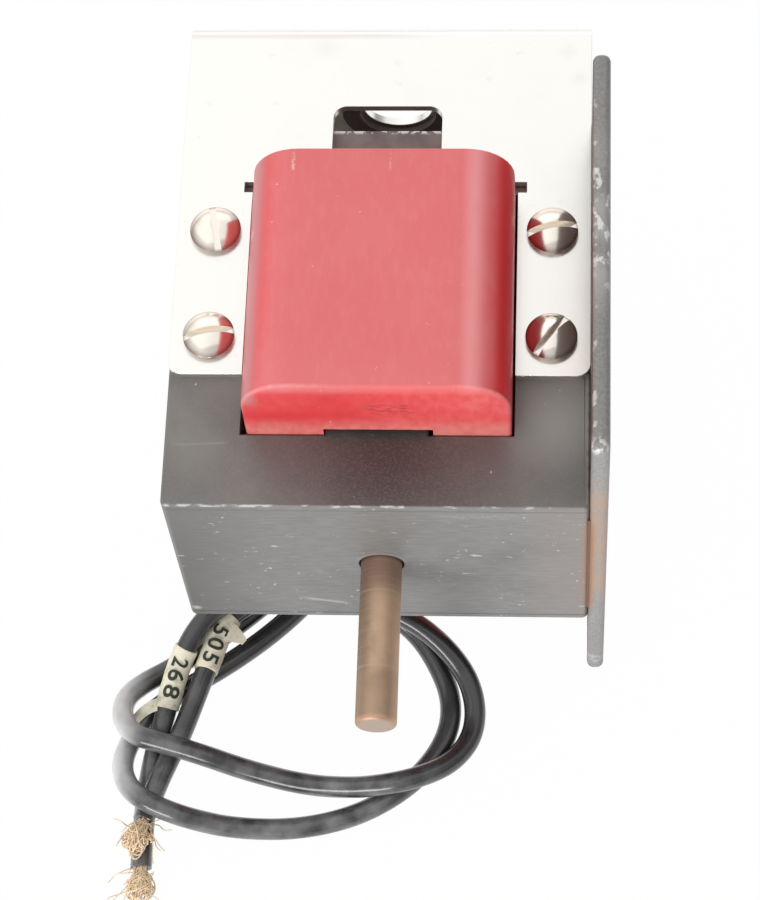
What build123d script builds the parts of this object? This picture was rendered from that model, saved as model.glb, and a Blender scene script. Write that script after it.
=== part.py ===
from build123d import *
import math
import os

# Push pull solenoid: a laminated steel field, a moulded coil around its centre pole, and a
# T-shaped laminated plunger that drives a bronze rod out of the front. The origin lies on the
# rod's axis in the front face, +Y runs back along the stroke and +Z points up.
# All lengths are in millimetres.

# Field stack
field_width = 76.2
field_height = 50.8
field_plate = 1.6
yoke_depth = 14.3
leg_width = 13.5
leg_length = 49.2
pole_length = 10.0
field_corner = 1.2
field_edge = 0.35

# Plunger
stem_width = 18.4
head_depth = 13.8
head_side_gap = 0.8
plunger_plate = 1.55
plunger_edge = 0.6
plate_slip = 0.25
pole_gap = 0.5
head_gap = 0.3
stroke = 19.05

# Push rod
nose_diameter = 7.6
nose_length = 31.7
nose_chamfer = 0.8
shank_diameter = 7.7
shank_in_stem = 22.0
shoulder_length = 1.2
rod_clearance = 0.05
rod_pin_diameter = 3.2
rod_pin_depth = 13.0
bush_diameter = 11.0
bush_setback = 1.2
face_hole_diameter = 8.4

# Shading rings in the leg ends
ring_wire = 2.0
ring_depth = 2.2
ring_recess = 0.2
ring_width = 9.0
ring_height = 40.0

# Moulded coil
coil_side_gap = 0.8
coil_offset = 0.35
coil_rear_gap = 0.9
coil_rise = 18.8
coil_corner = 8.8
coil_edge = 0.7
coil_wall = 2.0
bore_side_gap = 0.6
bore_rise = 2.0
pole_side_gap = 0.5
bobbin_wall = 1.4
winding_inset = 0.8
wedge_gap = 0.3

# Lead block under the coil
lead_block_width = 16.0
lead_block_length = 42.0
lead_block_setback = 1.4
lead_block_height = 6.6
lead_block_corner = 2.0
lead_block_edge = 0.8
collar_diameter = 5.6
collar_length = 2.0

# Guide bracket
sheet = 1.6
bend_radius = 1.0
bracket_setback = 25.4
bracket_corner = 2.5
cutout_gap = 0.7
window_width = 20.4
window_length = 18.6
window_corner = 2.5
relief_width = 1.6
relief_length = 2.2
rear_hole_diameter = 13.5
stop_outer_diameter = 22.0
stop_inner_diameter = 15.0
stop_thickness = 1.65
stop_gap = 0.3

# Clamp screws, washers and nuts
screw_diameter = 4.8
screw_hole_diameter = 5.2
screw_edge_distance = 7.1
screw_front_margin = 7.5
screw_rear_margin = 8.7
screw_tail = 1.2
head_diameter = 9.4
head_height = 3.0
head_rim = 1.0
slot_width = 1.4
slot_depth = 2.0
slot_angles = (10.0, 100.0, 53.0, 11.0)
washer_gap = 0.6
washer_diameter = 8.6
washer_thickness = 1.2
nut_across_flats = 9.5
nut_thickness = 3.2

# Mounting plate and its welds
plate_thickness = 3.2
plate_length = 79.2
plate_proud = 0.6
plate_height = 101.6
plate_corner = 1.8
plate_edge = 1.3
mount_hole_diameter = 5.6
mount_pitch_y = 50.8
mount_pitch_z = 76.2
weld_radius = 0.7
weld_setback = 0.1
weld_length = 40.0
under_weld_leg = 3.0
under_weld_length = 18.0

# Plunger rivets
rivet_diameter = 4.0
head_rivets = (-31.0, -16.0, 16.0, 31.0)
stem_rivet_place = 36.0

# Leads
lead_diameter = 4.2
marker_thickness = 0.35
strand_length = 8.0
strand_width = 6.6
strand_neck = 3.2
strand_tip = 4.4

# Places worked out from the sizes above
half_width = field_width / 2
half_height = field_height / 2
leg_inner = half_width - leg_width
leg_end = yoke_depth + leg_length
pole_end = yoke_depth + pole_length
bore_half = stem_width / 2 + bore_side_gap
bore_top = half_height + bore_rise
pole_half = bore_half - pole_side_gap
plunger_top = half_height - plate_slip
stem_front = pole_end + pole_gap
head_front = leg_end + head_gap
head_rear = head_front + head_depth
head_half = half_width - head_side_gap
coil_half_width = leg_inner - coil_side_gap
coil_half_height = half_height + coil_rise
coil_end = leg_end - coil_rear_gap
flange_outer = half_height + sheet
wall_inner = head_rear + stroke + stop_gap + stop_thickness
wall_outer = wall_inner + sheet
cutout_end = coil_end + cutout_gap
window_end = cutout_end + window_length
screw_x = half_width - screw_edge_distance
screw_rows = (bracket_setback + screw_front_margin, leg_end - screw_rear_margin)
plate_outer = half_width + plate_thickness
plate_rear = plate_length - plate_proud
floor_level = -max(plate_height / 2, coil_half_height + lead_block_height)
lead_block_front = yoke_depth + lead_block_setback
collar_end = -lead_block_width / 2 - collar_length
lead_radius = lead_diameter / 2

# Route of each lead, as x, y and height of its centre over the floor. Each one leaves the lead
# block, makes a loop in front of the coil, goes back under the yoke and comes out at the left.
exit_height = 3.0
exit_places = (24.0, 18.0)
lead_1_route = [
    (collar_end, exit_places[0], exit_height), (-14.6, exit_places[0], exit_height),
    (-19.2, 19.6, 2.3), (-26.0, 12.4, 2.1),
    (-34.5, 5.0, 2.1), (-44.0, -2.0, 2.1), (-50.2, -5.8, 2.7), (-53.2, -9.9, 4.8),
    (-52.9, -15.2, 7.6), (-49.7, -19.3, 9.8), (-44.2, -20.8, 10.2), (-36.8, -22.5, 8.8),
    (-28.0, -24.2, 4.4), (-17.0, -26.2, 2.1), (-7.4, -27.7, 5.0), (-0.6, -27.7, 7.4),
    (6.0, -26.0, 7.2), (11.8, -22.3, 4.8), (15.6, -16.8, 3.0), (16.5, -10.6, 3.4),
    (14.8, -4.6, 5.4), (10.4, 0.6, 8.2), (4.0, 5.2, 10.6), (-5.0, 8.8, 11.8),
    (-17.0, 9.9, 12.0), (-27.5, 10.2, 11.6), (-35.3, 7.4, 11.3), (-39.6, 2.4, 9.7),
    (-42.2, -3.0, 7.5), (-43.5, -8.9, 7.4), (-45.5, -15.8, 4.3), (-47.1, -22.4, 2.1),
    (-47.8, -29.4, 2.1), (-48.0, -36.7, 2.1), (-47.9, -43.6, 2.1),
]
lead_2_route = [
    (collar_end, exit_places[1], exit_height), (-13.6, exit_places[1], exit_height),
    (-17.2, 13.4, 2.3), (-23.6, 6.6, 2.1),
    (-32.2, -0.5, 2.1), (-42.2, -7.0, 2.1), (-48.6, -11.9, 2.1), (-51.8, -17.8, 2.5),
    (-52.7, -24.4, 6.0), (-50.0, -30.7, 10.6), (-44.5, -34.2, 11.4), (-38.0, -35.6, 8.4),
    (-30.0, -35.8, 3.6), (-18.0, -35.4, 2.1), (-6.8, -32.6, 2.1), (1.8, -27.6, 2.1),
    (7.8, -21.6, 2.1), (11.2, -14.8, 2.1), (11.5, -8.0, 2.1), (9.0, -1.6, 2.8),
    (4.8, 4.6, 4.6), (-2.0, 9.6, 6.1), (-12.0, 11.6, 6.8), (-23.0, 11.6, 6.9),
    (-30.6, 9.6, 6.9), (-34.4, 4.6, 7.1), (-35.9, -1.0, 7.1), (-38.4, -8.8, 6.6),
    (-41.5, -17.6, 4.8), (-44.1, -24.3, 5.5), (-46.1, -30.4, 6.1), (-47.4, -35.4, 6.6),
]
arc_share = 0.45
marker_spans = ((28, 29), (25, 26))


def block(x0, x1, y0, y1, z0, z1):
    """A plain box between two corners."""
    return Pos((x0 + x1) / 2, (y0 + y1) / 2, (z0 + z1) / 2) * Box(x1 - x0, y1 - y0, z1 - z0)


def rod_along_y(radius, y0, y1, x=0.0, z=0.0):
    """A round bar parallel to the stroke."""
    return Pos(x, (y0 + y1) / 2, z) * Rot(90, 0, 0) * Cylinder(radius, y1 - y0)


def bar_along_z(radius, x, y, z0, z1):
    """A round bar parallel to the height."""
    return Pos(x, y, (z0 + z1) / 2) * Cylinder(radius, z1 - z0)


def rounded_prism(x, half_x, half_z, corner, y0, y1):
    """A bar of rounded rectangular section that runs along the stroke."""
    section = Plane.XZ * RectangleRounded(2 * half_x, 2 * half_z, corner)
    return Pos(x, y1, 0) * extrude(section, y1 - y0)


def screw_places():
    """Each clamp screw's place on the legs, the left pair first."""
    return [(side * screw_x, row) for side in (-1, 1) for row in screw_rows]


def upright_edges(part):
    return part.edges().filter_by(Axis.Z)


# Field
def field_profile(z0, z1):
    """The E shape of one lamination: yoke, two legs and the short centre pole."""
    whole = block(-half_width, half_width, 0, leg_end, z0, z1)
    for side in (-1, 1):
        inner, outer = sorted((side * pole_half, side * leg_inner))
        whole -= block(inner, outer, yoke_depth, leg_end + 1, z0, z1)
    whole -= block(-pole_half, pole_half, pole_end, leg_end + 1, z0, z1)
    outside = [e for e in upright_edges(whole) if abs(e.center().X) > half_width - field_edge]
    whole = fillet(outside, field_corner)
    for x, y in screw_places():
        whole -= bar_along_z(screw_hole_diameter / 2, x, y, z0, z1)
    return whole


def shading_ring(side, depth):
    """A rectangular copper loop that lies in the end face of one leg."""
    centre = side * (leg_inner + leg_width / 2)
    y1 = leg_end - ring_recess
    loop = block(centre - ring_width / 2, centre + ring_width / 2, y1 - depth, y1,
                 -ring_height / 2, ring_height / 2)
    hole_x = ring_width / 2 - ring_wire
    hole_z = ring_height / 2 - ring_wire
    return loop - block(centre - hole_x, centre + hole_x, y1 - depth, y1, -hole_z, hole_z)


def ring_groove(side):
    """The groove for a shading ring, open at the leg's end."""
    ring = shading_ring(side, ring_depth)
    return ring + Pos(0, ring_recess, 0) * ring


def make_field_laminations():
    top = half_height - field_plate
    core = field_profile(-top, top)
    core -= rod_along_y(face_hole_diameter / 2, -1, bush_setback)
    core -= rod_along_y(bush_diameter / 2, bush_setback, pole_end + 1)
    for side in (-1, 1):
        core -= ring_groove(side)
    return core


def make_field_plate(side):
    """The thicker outer lamination above or below the stack, with its outer edge broken."""
    low, high = half_height - field_plate, half_height
    plate = field_profile(low, high)
    rim = plate.faces().sort_by(Axis.Z)[-1].outer_wire().edges()
    plate = chamfer([e for e in rim if e.center().Y < leg_end / 2], field_edge)
    return plate if side > 0 else mirror(plate, about=Plane.XY)


def make_rod_bush():
    bush = rod_along_y(bush_diameter / 2, bush_setback, pole_end)
    return bush - rod_along_y(shank_diameter / 2 + rod_clearance, bush_setback, pole_end)


# Mounting plate, welded to the right side of the stack
def make_mounting_plate():
    plate = block(half_width, plate_outer, -plate_proud, plate_rear,
                  -plate_height / 2, plate_height / 2)
    plate = fillet(plate.edges().filter_by(Axis.X), plate_corner)
    around = plate.faces().filter_by(Axis.X).edges()
    plate = fillet(around, plate_edge)
    for y in (-mount_pitch_y / 2, mount_pitch_y / 2):
        for z in (-mount_pitch_z / 2, mount_pitch_z / 2):
            hole = Rot(0, 90, 0) * Cylinder(mount_hole_diameter / 2, 4 * plate_thickness)
            plate -= Pos(half_width, plate_length / 2 - plate_proud + y, z) * hole
    return plate


def make_mounting_weld(neighbours):
    """A bead in the groove of the front seam, and a fillet in the corner under the stack."""
    bead = bar_along_z(weld_radius, half_width, weld_radius + weld_setback,
                       -weld_length / 2, weld_length / 2)
    corner = Plane.XZ * Polygon(
        (half_width, -half_height), (half_width - under_weld_leg, -half_height),
        (half_width, -half_height - under_weld_leg), align=None)
    start = bracket_setback - under_weld_length - under_weld_leg
    under = Pos(0, start + under_weld_length, 0) * extrude(corner, under_weld_length)
    for piece in neighbours:
        bead -= piece
    return [bead, under]


# Coil, which sits a little to the right of the rod's axis
def coil_shape(inset, y0, y1):
    """The coil's outer section, drawn in by inset on every side."""
    corner = coil_corner - inset
    half_x, half_z = coil_half_width - inset, coil_half_height - inset
    return rounded_prism(coil_offset, half_x, half_z, corner, y0, y1)


def bore_shape(grow, y0, y1):
    """The coil's rectangular bore, made larger by grow on every side."""
    half_x, half_z = bore_half + grow, bore_top + grow
    return block(coil_offset - half_x, coil_offset + half_x, y0, y1, -half_z, half_z)


def make_coil_bobbin():
    front, rear = yoke_depth + coil_wall, coil_end - coil_wall
    bobbin = bore_shape(bobbin_wall, front, rear)
    bobbin += coil_shape(coil_wall, front, front + bobbin_wall)
    bobbin += coil_shape(coil_wall, rear - bobbin_wall, rear)
    return bobbin - bore_shape(0, front, rear)


def make_coil_winding():
    front = yoke_depth + coil_wall + bobbin_wall
    rear = coil_end - coil_wall - bobbin_wall
    winding = coil_shape(coil_wall + winding_inset, front, rear)
    return winding - bore_shape(bobbin_wall, front, rear)


def make_lead_block():
    """The raised block under the coil where the leads come out, with a collar round each."""
    rear = lead_block_front + lead_block_length
    half = lead_block_width / 2
    body = block(-half, half, lead_block_front, rear, floor_level, -coil_half_height + coil_wall)
    body = fillet(upright_edges(body), lead_block_corner)
    body = fillet(body.faces().sort_by(Axis.Z)[0].edges(), lead_block_edge)
    for y in exit_places:
        collar = Pos(collar_end, y, floor_level + exit_height) * Rot(0, 90, 0) * Cylinder(
            collar_diameter / 2, collar_length + half, align=(Align.CENTER, Align.CENTER, Align.MIN))
        body += collar
    return body


def make_coil_moulding(bobbin, winding):
    body = coil_shape(0, yoke_depth, coil_end)
    ends = body.faces().filter_by(Axis.Y).edges()
    body = fillet(ends, coil_edge)
    body += make_lead_block()
    body -= bore_shape(0, yoke_depth - 1, coil_end + 1)
    return body - bobbin - winding


def make_coil_wedge(side):
    """A fibre strip between the bore and the field, which centres the coil over the stem."""
    low, high = sorted((side * (plunger_top + wedge_gap), side * bore_top))
    return block(coil_offset - bore_half, coil_offset + bore_half, stem_front, coil_end, low, high)


# Guide bracket
def make_guide_bracket():
    """A channel of plated sheet that clamps over the field and guides the plunger's head."""
    outer = block(-half_width, half_width, bracket_setback, wall_outer, -flange_outer, flange_outer)
    inner = block(-half_width, half_width, bracket_setback, wall_inner, -half_height, half_height)
    long_edges = [e for e in outer.edges().filter_by(Axis.X) if e.center().Y > wall_inner]
    outer = fillet(long_edges, bend_radius + sheet)
    long_edges = [e for e in inner.edges().filter_by(Axis.X) if e.center().Y > wall_inner - sheet]
    inner = fillet(long_edges, bend_radius)
    bracket = outer - inner
    tips = [e for e in upright_edges(bracket) if e.center().Y < bracket_setback + sheet]
    bracket = fillet(tips, bracket_corner)
    reach = flange_outer + 1
    bracket -= block(-leg_inner, leg_inner, bracket_setback - 1, cutout_end, -reach, reach)
    for side in (-1, 1):
        x0, x1 = sorted((side * (leg_inner - relief_width), side * (leg_inner + relief_width)))
        bracket -= block(x0, x1, cutout_end, cutout_end + relief_length, -reach, reach)
    half = window_width / 2
    window = block(-half, half, cutout_end - 2 * window_corner, window_end, -reach, reach)
    bracket -= fillet(upright_edges(window), window_corner)
    bracket -= rod_along_y(rear_hole_diameter / 2, wall_inner - 1, wall_outer + 1)
    for x, y in screw_places():
        bracket -= bar_along_z(screw_hole_diameter / 2, x, y, -reach, reach)
    return bracket


def make_stop_washer():
    front = wall_inner - stop_thickness
    washer = rod_along_y(stop_outer_diameter / 2, front, wall_inner)
    return washer - rod_along_y(stop_inner_diameter / 2, front, wall_inner)


# Fasteners
def make_clamp_screw(x, y, slot_angle):
    """A slotted pan head screw that goes through the bracket and the whole stack."""
    radius, rise = head_diameter / 2, head_height - head_rim
    dome_radius = (radius ** 2 + rise ** 2) / (2 * rise)
    head = bar_along_z(radius, 0, 0, 0, head_height)
    head &= Pos(0, 0, head_height - dome_radius) * Sphere(dome_radius)
    slot = Pos(0, 0, head_height - slot_depth / 2) * Box(2 * head_diameter, slot_width, slot_depth)
    head -= Rot(0, 0, slot_angle) * slot
    end = -2 * flange_outer - washer_thickness - nut_thickness - screw_tail
    shank = bar_along_z(screw_diameter / 2, 0, 0, end, 0)
    shank = chamfer(shank.faces().sort_by(Axis.Z)[0].edges(), head_rim / 2)
    return Pos(x, y, flange_outer) * (head + shank)


def make_washer(x, y):
    """A split lock washer under the nut."""
    top = -flange_outer
    ring = bar_along_z(washer_diameter / 2, x, y, top - washer_thickness, top)
    ring -= bar_along_z(screw_diameter / 2, x, y, top - washer_thickness, top)
    gap = Pos(x, y, top - washer_thickness / 2) * Rot(0, 25, 0) * Pos(0, washer_diameter / 2, 0)
    return ring - gap * Box(washer_gap, washer_diameter, 3 * washer_thickness)


def make_nut(x, y):
    top = -flange_outer - washer_thickness
    corners = nut_across_flats / math.sqrt(3)
    body = Pos(x, y, top - nut_thickness) * extrude(RegularPolygon(corners, 6), nut_thickness)
    crown = Pos(x, y, top - nut_thickness / 2) * Cylinder(corners, nut_thickness)
    crown = chamfer(crown.edges().filter_by(GeomType.CIRCLE), field_edge * 2)
    return (body & crown) - bar_along_z(screw_diameter / 2, x, y, top - nut_thickness, top)


# Plunger
def plunger_profile(z0, z1):
    """The T shape of one plunger lamination: stem and head."""
    half = stem_width / 2
    shape = block(-half, half, stem_front, head_front, z0, z1)
    shape += block(-head_half, head_half, head_front, head_rear, z0, z1)
    corners = [e for e in upright_edges(shape)
               if e.center().Y > head_rear - plunger_edge or e.center().Y < stem_front + plunger_edge]
    return chamfer(corners, plunger_edge)


def rivet_places():
    head = [(x, head_front + head_depth / 2) for x in head_rivets]
    return head + [(0.0, stem_front + stem_rivet_place)]


def make_rivets():
    return [bar_along_z(rivet_diameter / 2, x, y, -plunger_top, plunger_top)
            for x, y in rivet_places()]


def make_rod_pin():
    return bar_along_z(rod_pin_diameter / 2, 0, stem_front + rod_pin_depth, -plunger_top, plunger_top)


def make_push_rod():
    """The bronze rod, turned as one profile: a nose, a slight shoulder and a guided shank."""
    nose, shank = nose_diameter / 2, shank_diameter / 2
    rear = stem_front + shank_in_stem
    profile = Plane.XY * Polygon(
        (0, -nose_length), (nose - nose_chamfer, -nose_length), (nose, nose_chamfer - nose_length),
        (nose, 0), (shank, shoulder_length), (shank, rear), (0, rear), align=None)
    return revolve(profile, Axis.Y) - make_rod_pin()


def make_plunger_core():
    top = plunger_top - plunger_plate
    core = plunger_profile(-top, top)
    core -= rod_along_y(shank_diameter / 2, stem_front - 1, stem_front + shank_in_stem)
    for piece in make_rivets():
        core -= piece
    return core - make_rod_pin()


def make_plunger_plate(side):
    low, high = sorted((side * (plunger_top - plunger_plate), side * plunger_top))
    plate = plunger_profile(low, high)
    for piece in make_rivets():
        plate -= piece
    return plate - make_rod_pin()


# Leads
def on_floor(point):
    x, y, height = point
    return Vector(x, y, floor_level + height)


def corner_radii(points):
    """The radius at each inner point: a share of the shorter run over the tangent of half the turn."""
    radii = []
    for before, here, after in zip(points, points[1:], points[2:]):
        run_in, run_out = here - before, after - here
        turn = math.radians(run_in.get_angle(run_out))
        radii.append(arc_share * min(run_in.length, run_out.length) / math.tan(turn / 2))
    return radii


def tube(points, radii, radius):
    """A round tube along straight runs that are joined by tangent arcs."""
    path = FilletPolyline(*points, radius=radii)
    start = Plane(origin=path @ 0, z_dir=path % 0)
    solid = sweep(start * Circle(radius), path=path)
    return solid, path.length


def make_lead(route, name):
    points = [on_floor(p) for p in route]
    radii = corner_radii(points)
    solid, length = tube(points, radii, lead_radius)
    ratio = solid.volume / (math.pi * lead_radius ** 2 * length)
    print(name, "length", round(length, 1), "volume ratio", round(ratio, 4))
    print(name, "radii", [round(r, 1) for r in radii])
    return solid


def make_marker(route, span, lead):
    """A number sleeve round a lead, from the middle of one run to the middle of another."""
    points = [on_floor(p) for p in route]
    radii = corner_radii(points)
    first, last = span
    ends = [(points[first - 1] + points[first]) / 2, (points[last] + points[last + 1]) / 2]
    inner = points[first:last + 1]
    sleeve, _ = tube([ends[0]] + inner + [ends[1]], radii[first - 1:last],
                     lead_radius + marker_thickness)
    return sleeve - lead


def make_strands(route):
    """The frayed bundle of copper wires at the lead's bare end, as its outer shape."""
    end, before = on_floor(route[-1]), on_floor(route[-2])
    along = (end - before).normalized()
    widths = ((0.0, strand_neck), (strand_length / 2, strand_width), (strand_length, strand_tip))
    sections = []
    for reach, width in widths:
        place = Plane(origin=end + along * reach, x_dir=(0, 0, 1), z_dir=along)
        sections.append(place * Ellipse(min(width, lead_diameter) / 2, width / 2))
    return loft(sections)


def write(name, solids):
    """Write one node, as a single solid or as a group of separate ones."""
    solids = [solids] if not isinstance(solids, list) else solids
    flat = [s for item in solids for s in item.solids()]
    shape = flat[0] if len(flat) == 1 else Compound(children=flat)
    shape.label = name
    export_step(shape, os.path.join("parts", name + ".step"))


def main():
    os.makedirs("parts", exist_ok=True)
    core = make_field_laminations()
    plates = {side: make_field_plate(side) for side in (1, -1)}
    mounting_plate = make_mounting_plate()
    write("field_laminations", core)
    write("field_plate_top", plates[1])
    write("field_plate_bottom", plates[-1])
    write("rod_bush", make_rod_bush())
    write("shading_ring_left", shading_ring(-1, ring_depth))
    write("shading_ring_right", shading_ring(1, ring_depth))
    write("mounting_plate", mounting_plate)
    write("mounting_weld", make_mounting_weld([core, plates[1], plates[-1], mounting_plate]))

    bobbin, winding = make_coil_bobbin(), make_coil_winding()
    write("coil_bobbin", bobbin)
    write("coil_winding", winding)
    write("coil_moulding", make_coil_moulding(bobbin, winding))
    write("coil_wedge_top", make_coil_wedge(1))
    write("coil_wedge_bottom", make_coil_wedge(-1))

    write("guide_bracket", make_guide_bracket())
    write("stop_washer", make_stop_washer())
    places = screw_places()
    write("clamp_screws", [make_clamp_screw(x, y, a) for (x, y), a in zip(places, slot_angles)])
    write("lock_washers", [make_washer(x, y) for x, y in places])
    write("clamp_nuts", [make_nut(x, y) for x, y in places])

    write("plunger_laminations", make_plunger_core())
    write("plunger_plate_top", make_plunger_plate(1))
    write("plunger_plate_bottom", make_plunger_plate(-1))
    write("plunger_rivets", make_rivets())
    write("push_rod", make_push_rod())
    write("rod_pin", make_rod_pin())

    for number, route, span in ((1, lead_1_route, marker_spans[0]), (2, lead_2_route, marker_spans[1])):
        lead = make_lead(route, f"lead_{number}")
        write(f"lead_{number}", lead)
        write(f"lead_marker_{number}", make_marker(route, span, lead))
        write(f"lead_strands_{number}", make_strands(route))


main()
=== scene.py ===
import math

import bmesh
import bpy
import numpy as np
from mathutils import Matrix, Vector


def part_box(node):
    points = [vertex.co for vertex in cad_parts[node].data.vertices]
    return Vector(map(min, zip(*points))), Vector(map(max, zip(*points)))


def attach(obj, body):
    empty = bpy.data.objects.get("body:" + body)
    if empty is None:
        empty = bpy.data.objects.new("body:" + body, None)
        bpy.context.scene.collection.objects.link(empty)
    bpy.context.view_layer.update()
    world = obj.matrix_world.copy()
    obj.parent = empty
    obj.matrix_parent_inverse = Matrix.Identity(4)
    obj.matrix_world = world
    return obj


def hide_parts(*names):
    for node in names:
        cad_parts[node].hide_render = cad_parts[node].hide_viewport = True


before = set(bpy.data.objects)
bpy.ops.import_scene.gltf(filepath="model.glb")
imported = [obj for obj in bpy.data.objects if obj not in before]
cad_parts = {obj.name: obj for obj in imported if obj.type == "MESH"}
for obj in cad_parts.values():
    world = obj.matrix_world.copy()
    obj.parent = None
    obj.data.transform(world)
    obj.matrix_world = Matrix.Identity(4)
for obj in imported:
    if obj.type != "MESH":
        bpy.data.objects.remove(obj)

bl_info = {
    "name": "Push pull solenoid looks",
    "version": (1, 0, 0),
    "blender": (4, 5, 0),
    "location": "3D View > Sidebar > Solenoid",
    "description": "Dresses a laminated push pull solenoid: coil, plated bracket, rod and leads",
    "category": "Add Mesh",
}

MM = 0.001
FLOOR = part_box("mounting_plate")[0].z

# Routes of the two leads, as in the solid model: x, y and height of the centre over the floor
EXIT_HEIGHT = 3.0
LEAD_1_ROUTE = [
    (-10.0, 24.0, EXIT_HEIGHT), (-14.6, 24.0, EXIT_HEIGHT),
    (-19.2, 19.6, 2.3), (-26.0, 12.4, 2.1),
    (-34.5, 5.0, 2.1), (-44.0, -2.0, 2.1), (-50.2, -5.8, 2.7), (-53.2, -9.9, 4.8),
    (-52.9, -15.2, 7.6), (-49.7, -19.3, 9.8), (-44.2, -20.8, 10.2), (-36.8, -22.5, 8.8),
    (-28.0, -24.2, 4.4), (-17.0, -26.2, 2.1), (-7.4, -27.7, 5.0), (-0.6, -27.7, 7.4),
    (6.0, -26.0, 7.2), (11.8, -22.3, 4.8), (15.6, -16.8, 3.0), (16.5, -10.6, 3.4),
    (14.8, -4.6, 5.4), (10.4, 0.6, 8.2), (4.0, 5.2, 10.6), (-5.0, 8.8, 11.8),
    (-17.0, 9.9, 12.0), (-27.5, 10.2, 11.6), (-35.3, 7.4, 11.3), (-39.6, 2.4, 9.7),
    (-42.2, -3.0, 7.5), (-43.5, -8.9, 7.4), (-45.5, -15.8, 4.3), (-47.1, -22.4, 2.1),
    (-47.8, -29.4, 2.1), (-48.0, -36.7, 2.1), (-47.9, -43.6, 2.1),
]
LEAD_2_ROUTE = [
    (-10.0, 18.0, EXIT_HEIGHT), (-13.6, 18.0, EXIT_HEIGHT),
    (-17.2, 13.4, 2.3), (-23.6, 6.6, 2.1),
    (-32.2, -0.5, 2.1), (-42.2, -7.0, 2.1), (-48.6, -11.9, 2.1), (-51.8, -17.8, 2.5),
    (-52.7, -24.4, 6.0), (-50.0, -30.7, 10.6), (-44.5, -34.2, 11.4), (-38.0, -35.6, 8.4),
    (-30.0, -35.8, 3.6), (-18.0, -35.4, 2.1), (-6.8, -32.6, 2.1), (1.8, -27.6, 2.1),
    (7.8, -21.6, 2.1), (11.2, -14.8, 2.1), (11.5, -8.0, 2.1), (9.0, -1.6, 2.8),
    (4.8, 4.6, 4.6), (-2.0, 9.6, 6.1), (-12.0, 11.6, 6.8), (-23.0, 11.6, 6.9),
    (-30.6, 9.6, 6.9), (-34.4, 4.6, 7.1), (-35.9, -1.0, 7.1), (-38.4, -8.8, 6.6),
    (-41.5, -17.6, 4.8), (-44.1, -24.3, 5.5), (-46.1, -30.4, 6.1), (-47.4, -35.4, 6.6),
]
# Per lead: its length in metres, the runs of its route under the marker, the numerals and how far
# they are moved along it, and the tape's loose end: four points, its width and its taper
LEADS = (
    {"route": LEAD_1_ROUTE, "length": 0.2631, "marker_runs": (28, 29), "numerals": "268", "shift": 0.0,
     "tail": ([(-44.4, -11.6, 7.4), (-46.8, -11.6, 7.2), (-48.8, -12.4, 6.2), (-50.6, -14.2, 5.0)],
              2.8, 0.7)},
    {"route": LEAD_2_ROUTE, "length": 0.2502, "marker_runs": (25, 26), "numerals": "505", "shift": 0.9,
     "tail": ([(-33.6, 3.4, 8.9), (-32.0, 3.0, 8.6), (-30.8, 2.4, 8.1), (-29.6, 1.4, 7.6)], 5.2, 0.25)},
)
# Distance in millimetres between the points of a lead's line
LINE_STEP = 0.25

# Camera of the photograph: place in millimetres, angles in degrees
CAMERA_PLACE = (34.6308, -215.9294, 504.2251)
CAMERA_ELEVATION = 64.3743
CAMERA_YAW = -8.4922
CAMERA_ROLL = -7.2662
FOCAL_PIXELS = 2981.72
FRAME_HEIGHT = 900
SENSOR = 36.0

# Largest turn between faces that are shaded as one, in degrees, and the spacing of the laminations
SMOOTH_ANGLE = 35.0
LAMINATION = 0.64


class SolenoidSizes(bpy.types.PropertyGroup):
    """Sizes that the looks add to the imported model."""
    lead_diameter: bpy.props.FloatProperty(
        name="Lead diameter", description="Outside diameter of each lead's insulation",
        default=4.2 * MM, unit="LENGTH")
    sheet_round: bpy.props.FloatProperty(
        name="Sheet rounding", description="Width of the rounding on the plated sheet's edges",
        default=0.45 * MM, unit="LENGTH")


class SolenoidColours(bpy.types.PropertyGroup):
    """Colours of the finishes, as linear values."""
    coil_face: bpy.props.FloatVectorProperty(
        name="Coil face", description="Red of the moulding's front and sides",
        default=(0.81, 0.047, 0.054), subtype="COLOR")
    # The top's paler red is painted sheen from the light above
    coil_top_sheen: bpy.props.FloatVectorProperty(
        name="Coil top", description="Faded red of the moulding's top",
        default=(0.79, 0.172, 0.178), subtype="COLOR")
    steel: bpy.props.FloatVectorProperty(
        name="Black steel", description="Blackened steel of the field's top",
        default=(0.205, 0.198, 0.186), subtype="COLOR")
    rubbed_steel: bpy.props.FloatVectorProperty(
        name="Rubbed steel", description="Front of the field, where the black is rubbed",
        default=(0.25, 0.248, 0.242), subtype="COLOR")
    nickel: bpy.props.FloatVectorProperty(
        name="Nickel", description="Bright plating of the bracket and the screws",
        default=(0.95, 0.94, 0.90), subtype="COLOR")
    bronze: bpy.props.FloatVectorProperty(
        name="Bronze", description="Push rod",
        default=(0.53, 0.365, 0.25), subtype="COLOR")
    lead: bpy.props.FloatVectorProperty(
        name="Lead", description="Black insulation of the leads",
        default=(0.022, 0.021, 0.023), subtype="COLOR")
    tape: bpy.props.FloatVectorProperty(
        name="Tape", description="Cream tape of the wire markers",
        default=(0.86, 0.82, 0.65), subtype="COLOR")
    copper: bpy.props.FloatVectorProperty(
        name="Copper", description="Bare copper strands",
        default=(1.0, 0.74, 0.52), subtype="COLOR")


def sizes():
    return bpy.context.scene.solenoid_sizes


def colours():
    return bpy.context.scene.solenoid_colours


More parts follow.
